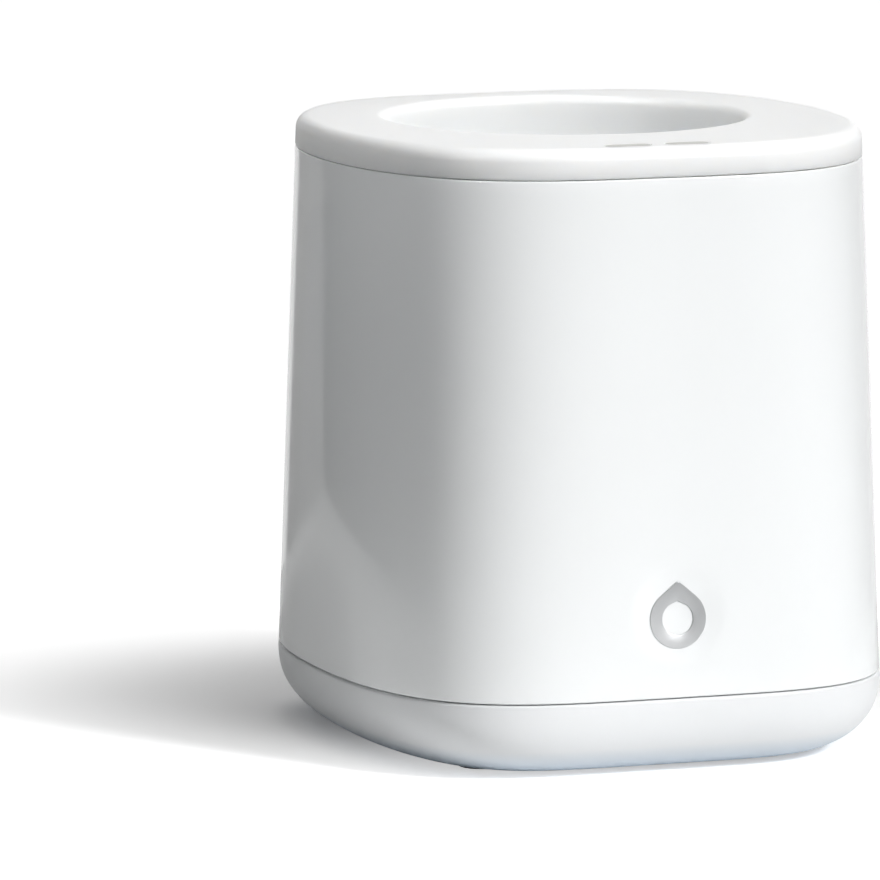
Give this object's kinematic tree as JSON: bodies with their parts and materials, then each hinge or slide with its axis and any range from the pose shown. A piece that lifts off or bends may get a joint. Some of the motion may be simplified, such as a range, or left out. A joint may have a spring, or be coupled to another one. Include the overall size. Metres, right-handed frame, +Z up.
{
  "type": "bottle warmer",
  "caption": "Electric bottle warmer: rounded-square white casing on a tucked base, round warming well with a lift-out basket, and push keys on the deck.",
  "frame": {"origin": "on the table under the middle of the casing", "axes": "+Z up, -Y the front with the emblem, +X to the right when looking along +Y"},
  "size_m": [0.13, 0.1375, 0.1441],
  "materials": {
    "silver_emblem": "satin silver foil on plastic",
    "satin_white_base": "satin moulded plastic",
    "zinc_steel": "zinc-plated steel",
    "frosted_basket": "frosted polypropylene",
    "capacitor_sleeve": "shrink sleeve",
    "silicone": "silicone",
    "board_green": "solder-masked glass epoxy",
    "ribbon_grey": "flat cable",
    "grey_rubber": "matt rubber",
    "ceramic_white": "ceramic",
    "wire_sleeve_red": "silicone wire sleeve",
    "wire_sleeve_white": "silicone wire sleeve",
    "cast_aluminium": "coated aluminium plate",
    "element_steel": "heat-tinted steel sheath",
    "led_lens": "clear epoxy lens",
    "gloss_white_shell": "glossy moulded ABS",
    "taupe_key": "soft-touch key cap",
    "black_plastic": "black moulded plastic",
    "relay_blue": "blue moulded case",
    "terminal_green": "green moulded block",
    "satin_white_deck": "fine satin moulded plastic",
    "ferrite_core": "ferrite and tape"
  },
  "bodies": {
    "housing": {"badge_inlay": "silver_emblem", "base_pan": "satin_white_base", "base_screw_front_left": "zinc_steel", "base_screw_front_right": "zinc_steel", "base_screw_rear_left": "zinc_steel", "base_screw_rear_right": "zinc_steel", "board_screw_1": "zinc_steel", "board_screw_2": "zinc_steel", "board_screw_3": "zinc_steel", "board_screw_4": "zinc_steel", "capacitor": "capacitor_sleeve", "chamber_gasket": "silicone", "clamp_ring": "zinc_steel", "clamp_screw_1": "zinc_steel", "clamp_screw_2": "zinc_steel", "clamp_screw_3": "zinc_steel", "clamp_screw_4": "zinc_steel", "control_board": "board_green", "control_cable": "ribbon_grey", "control_screw_1": "zinc_steel", "control_screw_2": "zinc_steel", "cord_gland": "grey_rubber", "foot_front_left": "grey_rubber", "foot_front_right": "grey_rubber", "foot_rear_left": "grey_rubber", "foot_rear_right": "grey_rubber", "fuse": "ceramic_white", "heater_cover": "zinc_steel", "heater_lead_live": "wire_sleeve_red", "heater_lead_neutral": "wire_sleeve_white", "heater_plate": "cast_aluminium", "heating_element": "element_steel", "indicator_led": "led_lens", "outer_shell": "gloss_white_shell", "power_board": "board_green", "power_switch": "black_plastic", "relay": "relay_blue", "sensor_lead": "black_plastic", "sensor_strap": "zinc_steel", "temperature_sensor": "zinc_steel", "terminal_block": "terminal_green", "thermal_cutout": "ceramic_white", "timer_switch": "black_plastic", "top_deck": "satin_white_deck", "transformer_core": "ferrite_core"},
    "power_key": {"power_key": "taupe_key", "power_plunger": "ceramic_white"},
    "timer_key": {"timer_key": "taupe_key", "timer_plunger": "ceramic_white"},
    "bottle_basket": {"bottle_basket": "frosted_basket"}
  },
  "joints": [
    {"name": "power_press", "type": "slide", "parent": "housing", "child": "power_key", "axis": [0, 0, -1], "range_m": [0, 0.0005], "stiffness_N_per_m": 400},
    {"name": "timer_press", "type": "slide", "parent": "housing", "child": "timer_key", "axis": [0, 0, -1], "range_m": [0, 0.0005], "stiffness_N_per_m": 400},
    {"name": "basket_lift", "type": "slide", "parent": "housing", "child": "bottle_basket", "axis": [0, 0, 1], "range_m": [0, 0.15]}
  ]
}
